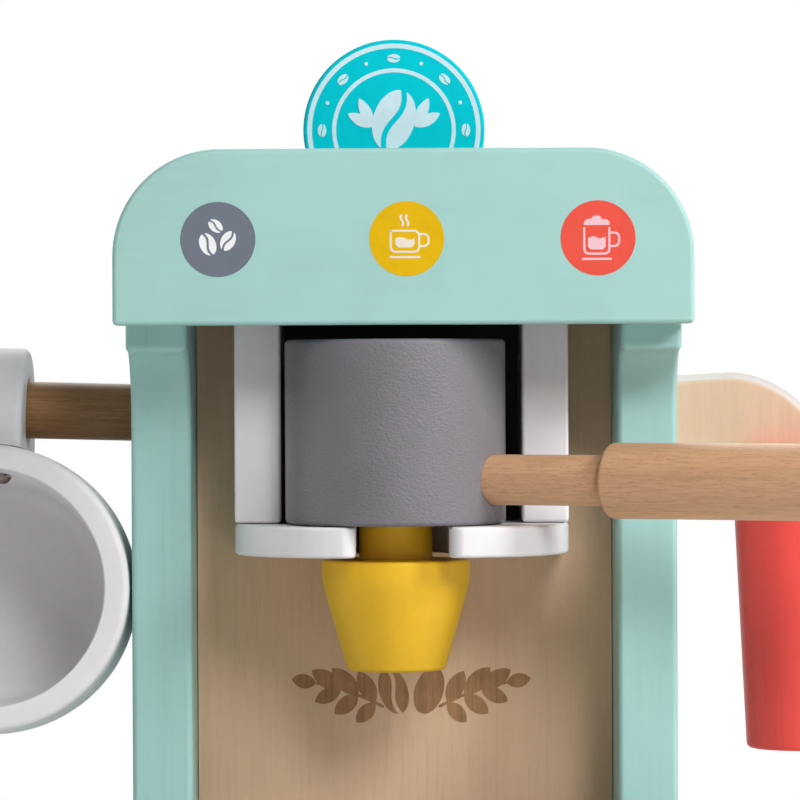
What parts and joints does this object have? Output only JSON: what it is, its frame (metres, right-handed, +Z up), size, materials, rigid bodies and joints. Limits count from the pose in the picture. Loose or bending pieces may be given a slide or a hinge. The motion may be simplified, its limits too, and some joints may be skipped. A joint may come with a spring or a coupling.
{
  "type": "toy coffee maker",
  "caption": "Wooden toy espresso machine with a sliding filter and turning handle, a coffee pod in a top slot, a mug on a peg, a drip tray and a hanging frother wand.",
  "frame": {"origin": "centre of the base board's underside, which stands on the table", "axes": "+Z up; the header and the cup bay face -Y; +X is the wand's side and -X the mug's side"},
  "size_m": [0.3115, 0.1473, 0.2841],
  "materials": {
    "mint_paint": "satin water-based paint on plywood",
    "white_paint": "satin paint on wood",
    "gray_paint": "matte paint on wood",
    "yellow_paint": "satin paint on turned wood",
    "red_paint": "satin paint on turned wood",
    "turquoise_paint": "satin paint on wood",
    "black_paint": "matte paint on thin board",
    "natural_plywood": "clear matte lacquer",
    "natural_beech": "clear matte lacquer",
    "screw_steel": "plated"
  },
  "bodies": {
    "machine": {"base_board": "mint_paint", "left_side_panel": "mint_paint", "right_side_panel": "mint_paint", "header_board": "mint_paint", "top_board": "mint_paint", "left_hanger": "white_paint", "right_hanger": "white_paint", "fork_plate": "white_paint", "drip_tray": "gray_paint", "backing_panel": "black_paint", "back_board": "natural_plywood", "wing_board": "natural_plywood", "mug_peg": "natural_beech", "frother_pin": "natural_beech", "header_dowel_left_1": "natural_beech", "header_dowel_left_2": "natural_beech", "header_dowel_right_1": "natural_beech", "header_dowel_right_2": "natural_beech", "base_screw_1": "screw_steel", "base_screw_2": "screw_steel", "base_screw_3": "screw_steel", "base_screw_4": "screw_steel", "base_screw_5": "screw_steel", "base_screw_6": "screw_steel", "hanger_screw_1": "screw_steel", "hanger_screw_2": "screw_steel", "hanger_screw_3": "screw_steel", "hanger_screw_4": "screw_steel", "fork_plate_screw_1": "screw_steel", "fork_plate_screw_2": "screw_steel", "wing_screw_1": "screw_steel", "wing_screw_2": "screw_steel"},
    "spout": {"filter_spout": "yellow_paint"},
    "handle": {"filter_head": "gray_paint", "handle_stem": "natural_beech", "handle_grip": "natural_beech"},
    "pod": {"coffee_pod": "turquoise_paint"},
    "mug_set": {"mug": "white_paint", "mug_ear": "white_paint", "mug_screw_1": "screw_steel", "mug_screw_2": "screw_steel"},
    "wand": {"frother_wand": "red_paint"}
  },
  "joints": [
    {"name": "filter_slide", "type": "slide", "parent": "machine", "child": "spout", "axis": [0, -1, 0], "range_m": [0, 0.1]},
    {"name": "handle_turn", "type": "hinge", "parent": "spout", "child": "handle", "pos_m": [-0.0026, -0.006, 0.1399], "axis": [0, 0, 1], "range_deg": [-134, 10]},
    {"name": "pod_lift", "type": "slide", "parent": "machine", "child": "pod", "axis": [0, 0, 1], "range_m": [0, 0.05]},
    {"name": "mug_slide", "type": "slide", "parent": "machine", "child": "mug_set", "axis": [-0.9996, 0, 0.0267], "range_m": [0, 0.07]},
    {"name": "wand_swing", "type": "hinge", "parent": "machine", "child": "wand", "pos_m": [0.1213, 0.026, 0.1565], "axis": [0, 1, 0], "range_deg": [-20, 14]}
  ]
}
